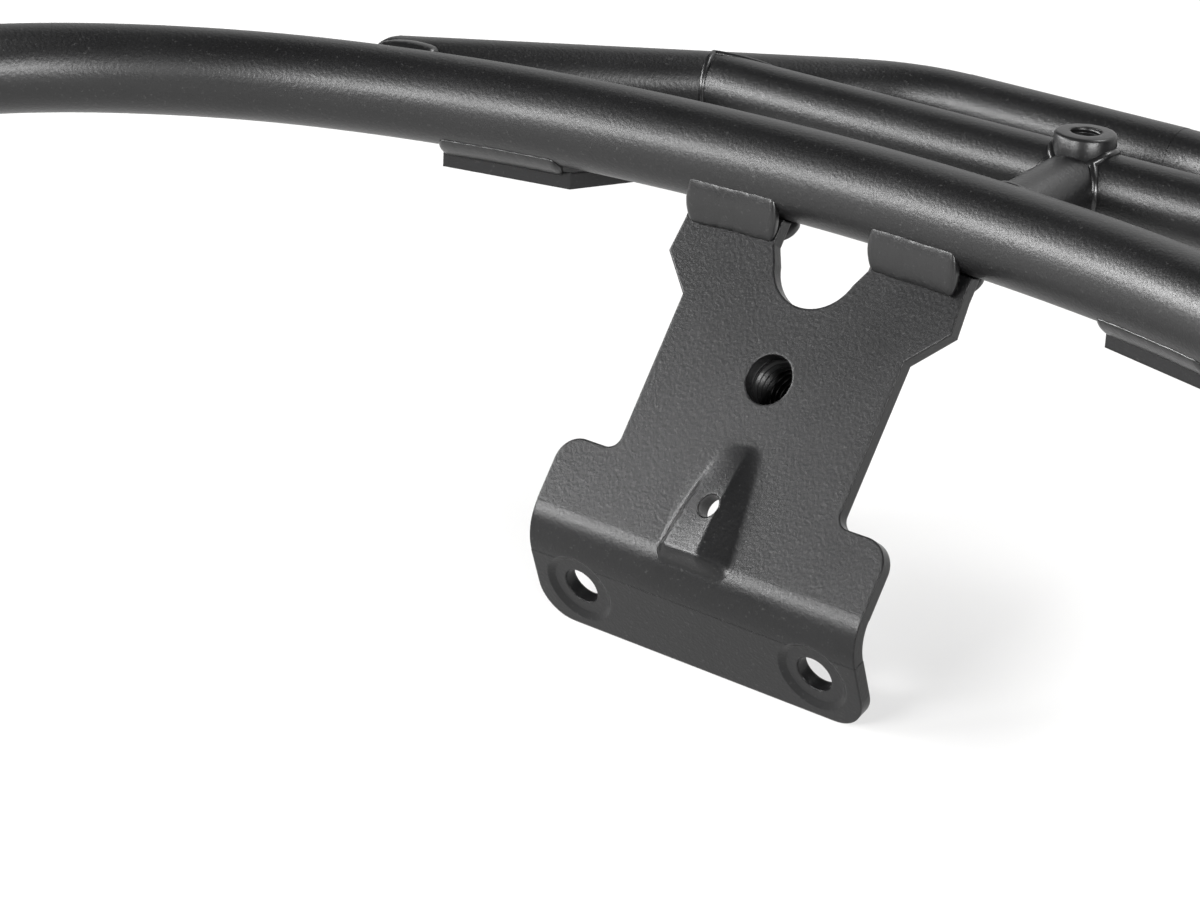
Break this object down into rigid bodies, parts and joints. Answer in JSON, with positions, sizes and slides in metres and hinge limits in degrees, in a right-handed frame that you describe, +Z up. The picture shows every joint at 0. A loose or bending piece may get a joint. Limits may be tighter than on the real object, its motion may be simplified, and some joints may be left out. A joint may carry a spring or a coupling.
{
  "type": "motorcycle luggage rack",
  "caption": "Small welded tubular rear rack: a bowed tube with an inner loop and strut behind it and a pressed centre bracket below.",
  "frame": {"origin": "mouth of the threaded bush, on the back face of the centre bracket's plate", "axes": "+X across the motorcycle to the rider's right, +Y to the rear, +Z up"},
  "size_m": [0.3824, 0.2637, 0.0884],
  "materials": {
    "powder_coat": "satin fine-textured powder coat",
    "weld_bead": "the same coat over weld beads"
  },
  "bodies": {
    "root": {"bow_tube": "powder_coat", "loop_tube": "powder_coat", "cross_tube": "powder_coat", "strut_tube": "powder_coat", "boss": "powder_coat", "bracket_plate": "powder_coat", "bracket_bush": "powder_coat", "tab_plate_left": "powder_coat", "tab_plate_right": "powder_coat", "arm_lug_left": "powder_coat", "arm_lug_right": "powder_coat", "weld_bracket_front_left": "weld_bead", "weld_bracket_front_right": "weld_bead", "weld_bracket_rear_left": "weld_bead", "weld_bracket_rear_right": "weld_bead", "weld_tab_left": "weld_bead", "weld_tab_right": "weld_bead", "weld_loop_left": "weld_bead", "weld_loop_right": "weld_bead", "weld_cross_left": "weld_bead", "weld_cross_right": "weld_bead", "weld_strut_front": "weld_bead", "weld_strut_rear": "weld_bead", "weld_boss": "weld_bead", "weld_bush": "weld_bead", "weld_lug_left": "weld_bead", "weld_lug_right": "weld_bead"}
  },
  "joints": []
}
